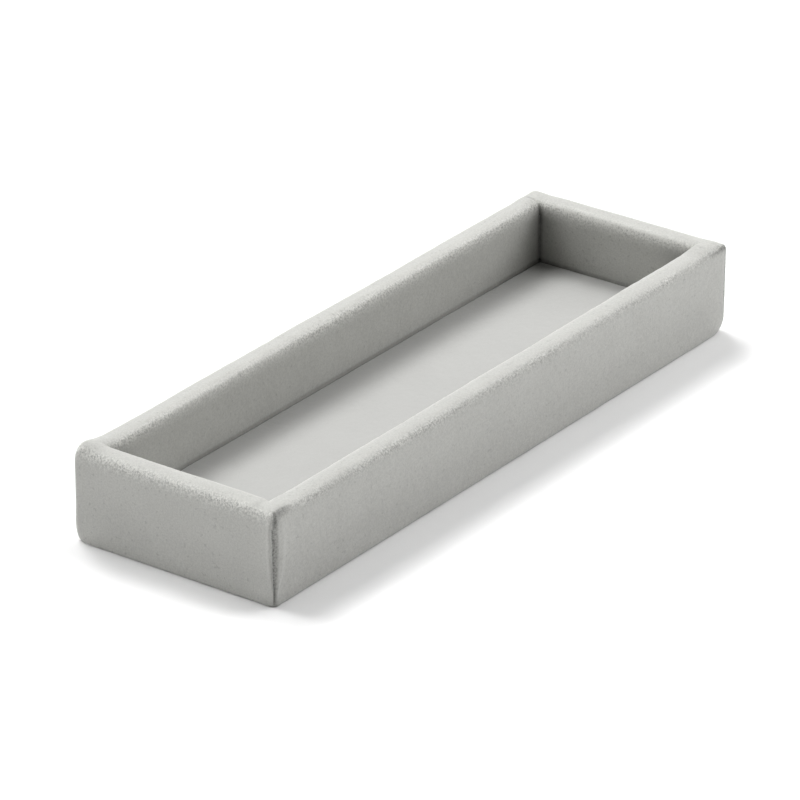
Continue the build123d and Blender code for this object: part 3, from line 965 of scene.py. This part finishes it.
class Finish:
    """A node material in the making: short words for the nodes that the finishes share."""

    def __init__(self, name):
        self.material = bpy.data.materials.new(name)
        self.material.use_nodes = True
        self.tree = self.material.node_tree
        self.tree.nodes.clear()
        self.output = self.node("ShaderNodeOutputMaterial")
        self.shader = self.node("ShaderNodeBsdfPrincipled")
        self.tree.links.new(self.shader.outputs["BSDF"], self.output.inputs["Surface"])
        self.place = self.node("ShaderNodeTexCoord").outputs["Object"]

    def node(self, kind, **settings):
        made = self.tree.nodes.new(kind)
        for title, value in settings.items():
            setattr(made, title, value)
        return made

    def join(self, source, target):
        self.tree.links.new(source, target)

    def noise(self, size, detail=2.0, roughness=0.55, stretch=(1.0, 1.0, 1.0)):
        """Noise on the piece's own place, from 0 to 1, its grains about the given size in metres."""
        mapping = self.node("ShaderNodeMapping")
        mapping.inputs["Scale"].default_value = stretch
        self.join(self.place, mapping.inputs["Vector"])
        noise = self.node("ShaderNodeTexNoise")
        noise.inputs["Scale"].default_value = 1.0 / size
        noise.inputs["Detail"].default_value = detail
        noise.inputs["Roughness"].default_value = roughness
        self.join(mapping.outputs["Vector"], noise.inputs["Vector"])
        return noise.outputs["Fac"]

    def between(self, value, from_low, from_high, to_low, to_high):
        """The value mapped from one range to another and held within it."""
        node = self.node("ShaderNodeMapRange")
        titles = ("From Min", "From Max", "To Min", "To Max")
        for title, number in zip(titles, (from_low, from_high, to_low, to_high)):
            node.inputs[title].default_value = number
        self.join(value, node.inputs["Value"])
        return node.outputs["Result"]

    def varied(self, noise, low, high):
        """Noise spread out from its usual range to the given one."""
        return self.between(noise, NOISE_LOW, NOISE_HIGH, low, high)

    def feed(self, title, source):
        """Joins a node's output to one of the shader's inputs."""
        self.join(source, self.shader.inputs[title])

    def constants(self, values):
        """Sets the shader's inputs that have one value all over."""
        for title, value in values.items():
            self.shader.inputs[title].default_value = value

    def attribute(self, title):
        """A value that the piece's mesh carries for each point."""
        return self.node("ShaderNodeAttribute", attribute_name=title).outputs["Fac"]

    def product(self, first, second):
        node = self.node("ShaderNodeMath", operation="MULTIPLY")
        self.join(first, node.inputs[0])
        self.join(second, node.inputs[1])
        return node.outputs["Value"]

    def shaded(self, color, factor):
        """The colour times a grey factor."""
        node = self.node("ShaderNodeVectorMath", operation="SCALE")
        node.inputs[0].default_value = color
        self.join(factor, node.inputs["Scale"])
        return node.outputs["Vector"]

    def bump(self, height, distance, strength=1.0, under=None):
        node = self.node("ShaderNodeBump")
        node.inputs["Strength"].default_value = strength
        node.inputs["Distance"].default_value = distance
        self.join(height, node.inputs["Height"])
        if under is not None:
            self.join(under, node.inputs["Normal"])
        return node.outputs["Normal"]


def velour_finish(name, color, sheen, grain, patch, bump_height):
    """Short velour: a matt pile in fine grains, with a few darker dots and broad patches that lie a little
    differently. Shade painted in darkens it in the seams, creases and corners, on the crests and along the
    pad's edges, and light painted in lightens it over the bends, where the pile opens and its grains part,
    and at the foot. Fine fuzz is in its bump, and it has a soft sheen."""
    finish = Finish(name)
    grains = finish.between(finish.noise(0.6 * MM, 2.0, 0.75), 0.34, 0.66, -1.0, 1.0)
    opened = finish.attribute("open_pile")
    strength = finish.between(opened, 0.0, 1.0, grain, OPEN_GRAIN)
    # One is added by mapping the range from minus one to one onto that from zero to two
    grains = finish.between(finish.product(grains, strength), -1.0, 1.0, 0.0, 2.0)
    dots = finish.between(finish.noise(1.3 * MM, 1.0, 0.5), 0.26, 0.34, 1.0 - 2.0 * grain, 1.0)
    patches = finish.varied(finish.noise(13.0 * MM, 3.0, 0.5), 1.0 - patch, 1.0 + patch)
    # The light and shade painted into the pile, carried by the mesh
    depth = finish.between(finish.attribute("shade"), -1.0, 1.0, 2.0, 0.0)
    factor = finish.product(finish.product(grains, dots), finish.product(patches, depth))
    factor = finish.between(factor, 0.0, BRIGHTEST, 0.0, BRIGHTEST)
    finish.feed("Base Color", finish.shaded(color, factor))
    finish.feed("Roughness", finish.varied(finish.noise(2.5 * MM), 0.88, 1.0))
    fuzz = finish.bump(finish.noise(0.45 * MM, 3.0, 0.7), bump_height)
    finish.feed("Normal", finish.bump(finish.noise(1.2 * MM, 2.0, 0.6), bump_height, 0.8, fuzz))
    finish.constants({"Specular IOR Level": 0.12, "Sheen Weight": sheen, "Sheen Roughness": 0.5})
    return finish.material


def felt_finish(color):
    """Thin pressed felt: short fibres in every direction, matt."""
    finish = Finish("pressed_felt")
    low, high = 0.86, 1.1
    fibres = finish.varied(finish.noise(0.7 * MM, 4.0, 0.7, (1.0, 0.35, 1.0)), low, high)
    crossed = finish.varied(finish.noise(0.7 * MM, 4.0, 0.7, (0.35, 1.0, 1.0)), 0.88, 1.08)
    finish.feed("Base Color", finish.shaded(color, finish.product(fibres, crossed)))
    finish.feed("Roughness", finish.between(fibres, low, high, 1.0, 0.92))
    finish.feed("Normal", finish.bump(finish.noise(0.6 * MM, 4.0, 0.7), 0.08 * MM))
    finish.constants({"Specular IOR Level": 0.15, "Sheen Weight": 0.2})
    return finish.material


def board_finish(name, color, fleck, roughness):
    """Pressed fibre: fine flecks along one way, with a slightly rough face."""
    finish = Finish(name)
    low, high = 1.0 - fleck, 1.0 + fleck
    flecks = finish.varied(finish.noise(1.1 * MM, 5.0, 0.7, (0.4, 1.0, 1.0)), low, high)
    clouds = finish.varied(finish.noise(12.0 * MM), 0.93, 1.06)
    finish.feed("Base Color", finish.shaded(color, finish.product(flecks, clouds)))
    finish.feed("Roughness", finish.between(flecks, low, high, roughness, roughness - 0.15))
    finish.feed("Normal", finish.bump(finish.noise(0.8 * MM, 4.0), 0.06 * MM))
    finish.constants({"Specular IOR Level": 0.3})
    return finish.material


def foam_finish(color):
    """Open-cell foam: small dark cells between pale walls."""
    finish = Finish("open_cell_foam")
    cells = finish.node("ShaderNodeTexVoronoi", feature="F1")
    cells.inputs["Scale"].default_value = 1.0 / (0.9 * MM)
    finish.join(finish.place, cells.inputs["Vector"])
    from_middle = cells.outputs["Distance"]
    finish.feed("Base Color", finish.shaded(color, finish.between(from_middle, 0.1, 0.6, 0.78, 1.04)))
    finish.feed("Roughness", finish.between(from_middle, 0.0, 0.8, 1.0, 0.9))
    finish.feed("Normal", finish.bump(from_middle, 0.15 * MM))
    return finish.material


def steel_finish(color):
    """Drawn wire: fine lines along its length and a dull polish."""
    finish = Finish("brad_wire")
    lines = finish.noise(0.25 * MM, 3.0, 0.6, (0.1, 1.0, 1.0))
    finish.feed("Base Color", finish.shaded(color, finish.varied(lines, 0.9, 1.05)))
    finish.feed("Roughness", finish.varied(lines, 0.3, 0.45))
    finish.constants({"Metallic": 1.0})
    return finish.material


def dress(piece, material, node):
    """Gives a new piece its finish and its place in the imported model."""
    piece.data.materials.append(material)
    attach(piece, "root")
    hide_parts(node)


def velour_for_walls(finish):
    """The walls' velour, made once and shared by the four covers."""
    name = "brushed_velour"
    made = bpy.data.materials.get(name)
    return made or velour_finish(name, finish.velour, finish.sheen, *WALL_PILE)


class TrayLongCovers(bpy.types.Operator):
    """Wrap the two long walls in velour"""

    bl_idname = "tray.long_covers"
    bl_label = "Long Wall Velour"

    def execute(self, context):
        finish = context.scene.tray_finish
        ring = Ring(context.scene.tray_cover)
        for name, side in (("back", 1), ("front", -1)):
            piece = cover_piece(f"{name}_cover", ring, True, side)
            dress(piece, velour_for_walls(finish), f"{name}_velour")
        return {"FINISHED"}


class TrayEndCovers(bpy.types.Operator):
    """Wrap the two end walls and the tops of the corner blocks in velour"""

    bl_idname = "tray.end_covers"
    bl_label = "End Wall Velour"

    def execute(self, context):
        finish = context.scene.tray_finish
        ring = Ring(context.scene.tray_cover)
        for name, side in (("right_end", 1), ("left_end", -1)):
            piece = cover_piece(f"{name}_cover", ring, False, side)
            dress(piece, velour_for_walls(finish), f"{name}_velour")
        return {"FINISHED"}


class TrayFloorPad(bpy.types.Operator):
    """Lay the padded velour floor in the well"""

    bl_idname = "tray.floor_pad"
    bl_label = "Padded Floor"

    def execute(self, context):
        finish = context.scene.tray_finish
        piece = floor_pad(context.scene.tray_pad, context.scene.tray_cover)
        material = velour_finish("pressed_velour", finish.floor_velour, finish.sheen, *PAD_PILE)
        dress(piece, material, "floor_pad_velour")
        return {"FINISHED"}


class TrayUndersideFelt(bpy.types.Operator):
    """Glue the felt under the tray"""

    bl_idname = "tray.underside_felt"
    bl_label = "Underside Felt"

    def execute(self, context):
        piece = underside_felt()
        dress(piece, felt_finish(context.scene.tray_finish.felt), "underside_felt")
        return {"FINISHED"}


class TrayInsidePieces(bpy.types.Operator):
    """Finish the rails, base panel, brads, board and foam that the velour hides"""

    bl_idname = "tray.inside_pieces"
    bl_label = "Inside Pieces"

    def execute(self, context):
        finish = context.scene.tray_finish
        fibreboard = board_finish("pressed_fibre", finish.fibreboard, 0.12, 0.95)
        finishes = {
            "base_panel": fibreboard,
            "floor_pad_board": board_finish("grey_board", finish.board, 0.06, 0.9),
            "floor_pad_foam": foam_finish(finish.foam),
            "corner_brads": steel_finish(finish.steel),
        }
        finishes.update({f"{side}_rail": fibreboard for side in ("back", "front", "left_end", "right_end")})
        for name, material in finishes.items():
            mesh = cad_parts[name].data
            mesh.materials.clear()
            mesh.materials.append(material)
        return {"FINISHED"}


# The far lamps: azimuth and elevation of each as seen from the tray, its spread in degrees and its strength
FAR_LAMPS = (
    ("high_right", 75.0, 62.0, 30.0, 1.0),
    ("high_back", 120.0, 62.0, 30.0, 0.33),
    ("key_right", 155.0, 50.0, 16.0, 0.91),
    ("key_far_right", 140.0, 50.0, 16.0, 0.52),
    ("key_left", 185.0, 50.0, 16.0, 0.82),
    ("key_upper_left", 185.0, 62.0, 16.0, 0.42),
    ("key_upper", 170.0, 62.0, 16.0, 0.42),
    ("fill_front", 50.0, 22.0, 30.0, 0.45),
    ("fill_left", 230.0, 22.0, 30.0, 0.48),
)

# The near lamp beside the far end: azimuth, elevation, distance, width and the light it gives at the middle
NEAR_LAMP = (60.0, 30.0, 0.7, 0.3, 0.61)


def seen_plainly(tree):
    """One on a ray from the camera or through gloss or glass, and zero on a ray that carries light."""
    path = tree.nodes.new("ShaderNodeLightPath")
    shows = path.outputs["Is Camera Ray"]
    for ray in ("Is Glossy Ray", "Is Transmission Ray"):
        either = tree.nodes.new("ShaderNodeMath")
        either.operation = "MAXIMUM"
        tree.links.new(shows, either.inputs[0])
        tree.links.new(path.outputs[ray], either.inputs[1])
        shows = either.outputs["Value"]
    return shows


def white_floor(color, seen_color):
    """The floor's plain finish: near white to the light that it sends back, and white to the camera."""
    finish = Finish("studio_floor")
    mix = finish.node("ShaderNodeMix", data_type="RGBA")
    mix.inputs["A"].default_value, mix.inputs["B"].default_value = (*color, 1.0), (*seen_color, 1.0)
    finish.join(seen_plainly(finish.tree), mix.inputs["Factor"])
    finish.feed("Base Color", mix.outputs["Result"])
    finish.constants({"Roughness": 1.0, "Specular IOR Level": 0.0})
    return finish.material


def lamp_direction(azimuth, elevation):
    """From the tray to a lamp: azimuth 0 is towards -Y, and 90 towards +X."""
    flat = math.cos(elevation)
    return Vector((math.sin(azimuth) * flat, -math.cos(azimuth) * flat, math.sin(elevation)))


class TrayStage(bpy.types.Operator):
    """Set up the camera, the white floor and the soft lamps"""

    bl_idname = "tray.stage"
    bl_label = "Camera, Floor and Lamps"

    def execute(self, context):
        stage = context.scene.tray_stage
        self.camera(context.scene, stage)
        self.floor(context.scene, stage)
        self.world(context.scene, stage)
        for name, azimuth, elevation, spread, strength in FAR_LAMPS:
            self.far_lamp(context.scene, name, azimuth, elevation, spread, strength)
        self.near_lamp(context.scene, *NEAR_LAMP)
        context.scene.view_settings.view_transform = "Standard"
        return {"FINISHED"}

    def camera(self, scene, stage):
        """A camera at the photograph's angle: its axes are worked out from azimuth, elevation and roll."""
        azimuth, elevation = stage.camera_azimuth, stage.camera_elevation
        back = lamp_direction(azimuth, elevation)
        right = Vector((math.cos(azimuth), math.sin(azimuth), 0.0))
        up = back.cross(right)
        roll = stage.camera_roll
        turned_right = right * math.cos(roll) + up * math.sin(roll)
        turned_up = up * math.cos(roll) - right * math.sin(roll)
        data = bpy.data.cameras.new("camera")
        data.lens = stage.camera_lens
        data.sensor_width = SENSOR_WIDTH
        data.clip_start, data.clip_end = CLIP_RANGE
        camera = bpy.data.objects.new("camera", data)
        place = Vector((stage.target_x, stage.target_y, 0.0)) + back * stage.camera_distance
        turn = Matrix((turned_right, turned_up, back)).transposed().to_4x4()
        camera.matrix_world = Matrix.Translation(place) @ turn
        scene.collection.objects.link(camera)
        scene.camera = camera

    def floor(self, scene, stage):
        """A round, flat floor: rings of points at even angles, wider apart further out."""
        sides, ring_count = 96, 8
        angles = np.linspace(0.0, 2 * math.pi, sides, endpoint=False)
        radii = stage.floor_radius * np.linspace(0.0, 1.0, ring_count + 1)[1:] ** 2
        ways = np.column_stack([np.cos(angles), np.sin(angles)])
        rings = (radii[:, None, None] * ways).reshape(-1, 2)
        points = np.concatenate([np.column_stack([rings, np.zeros(len(rings))]), np.zeros((1, 3))])
        number = np.arange(len(rings)).reshape(len(radii), len(angles))
        quads = grid_quads(number, np.ones((len(radii) - 1, len(angles)), bool))
        centre = np.full(len(angles), len(rings))
        triangles = np.stack([centre, number[0], np.roll(number[0], -1)], axis=1)
        floor = write_mesh("floor", points, quads, triangles)
        floor.data.materials.append(white_floor(stage.floor, stage.floor_seen))

    def world(self, scene, stage):
        """An even sky that lights the tray at its own strength and shows as plain white to the camera."""
        world = bpy.data.worlds.new("sky")
        world.use_nodes = True
        tree = world.node_tree
        tree.nodes.clear()
        output = tree.nodes.new("ShaderNodeOutputWorld")
        sky, seen = tree.nodes.new("ShaderNodeBackground"), tree.nodes.new("ShaderNodeBackground")
        sky.inputs["Strength"].default_value = stage.sky
        sky.inputs["Color"].default_value = (1.0, 1.0, 1.0, 1.0)
        seen.inputs["Color"].default_value = (1.0, 1.0, 1.0, 1.0)
        mix = tree.nodes.new("ShaderNodeMixShader")
        tree.links.new(seen_plainly(tree), mix.inputs["Fac"])
        tree.links.new(sky.outputs["Background"], mix.inputs[1])
        tree.links.new(seen.outputs["Background"], mix.inputs[2])
        tree.links.new(mix.outputs["Shader"], output.inputs["Surface"])
        scene.world = world

    def far_lamp(self, scene, name, azimuth, elevation, spread, strength):
        """A far, broad lamp: parallel light from a disc of the given spread."""
        data = bpy.data.lights.new(name, "SUN")
        data.energy = strength
        data.angle = math.radians(spread)
        self.aim(scene, data, azimuth, elevation, 1.0)

    def near_lamp(self, scene, azimuth, elevation, distance, width, strength):
        """A round lamp whose light falls off along the tray. Its power is its light at the tray's middle
        times pi and the square of its distance."""
        data = bpy.data.lights.new("near_right", "AREA")
        data.shape = "DISK"
        data.size = width
        data.energy = strength * math.pi * distance**2
        self.aim(scene, data, azimuth, elevation, distance).visible_camera = False

    def aim(self, scene, data, azimuth, elevation, distance):
        """Places a lamp in its direction from the tray, looking at the tray."""
        lamp = bpy.data.objects.new(data.name, data)
        way = lamp_direction(math.radians(azimuth), math.radians(elevation))
        turn = way.to_track_quat("Z", "Y").to_matrix().to_4x4()
        lamp.matrix_world = Matrix.Translation(way * distance) @ turn
        scene.collection.objects.link(lamp)
        return lamp


class TrayPanel(bpy.types.Panel):
    """The tray's pieces and stage in the 3D view's sidebar"""

    bl_idname = "VIEW3D_PT_tray"
    bl_label = "Velour Tray"
    bl_space_type = "VIEW_3D"
    bl_region_type = "UI"
    bl_category = "Tray"

    def draw(self, context):
        for operator in OPERATORS:
            self.layout.operator(operator.bl_idname)
        for title in SETTINGS:
            group = getattr(context.scene, title)
            box = self.layout.box()
            for name in group.__annotations__:
                box.prop(group, name)


SETTINGS = {
    "tray_cover": TrayCoverSettings,
    "tray_pad": TrayPadSettings,
    "tray_finish": TrayFinishSettings,
    "tray_stage": TrayStageSettings,
}
OPERATORS = (TrayStage, TrayLongCovers, TrayEndCovers, TrayFloorPad, TrayUndersideFelt, TrayInsidePieces)


def register():
    """Registers the settings, the operators and the panel."""
    for group in (*SETTINGS.values(), *OPERATORS, TrayPanel):
        bpy.utils.register_class(group)
    for title, group in SETTINGS.items():
        setattr(bpy.types.Scene, title, PointerProperty(type=group))


def unregister():
    """Takes the panel, the operators and the settings away again."""
    for title in SETTINGS:
        delattr(bpy.types.Scene, title)
    for group in reversed((*SETTINGS.values(), *OPERATORS, TrayPanel)):
        bpy.utils.unregister_class(group)


def main():
    register()
    bpy.ops.tray.stage()
    bpy.ops.tray.long_covers()
    bpy.ops.tray.end_covers()
    bpy.ops.tray.floor_pad()
    bpy.ops.tray.underside_felt()
    bpy.ops.tray.inside_pieces()


if __name__ == "__main__":
    main()
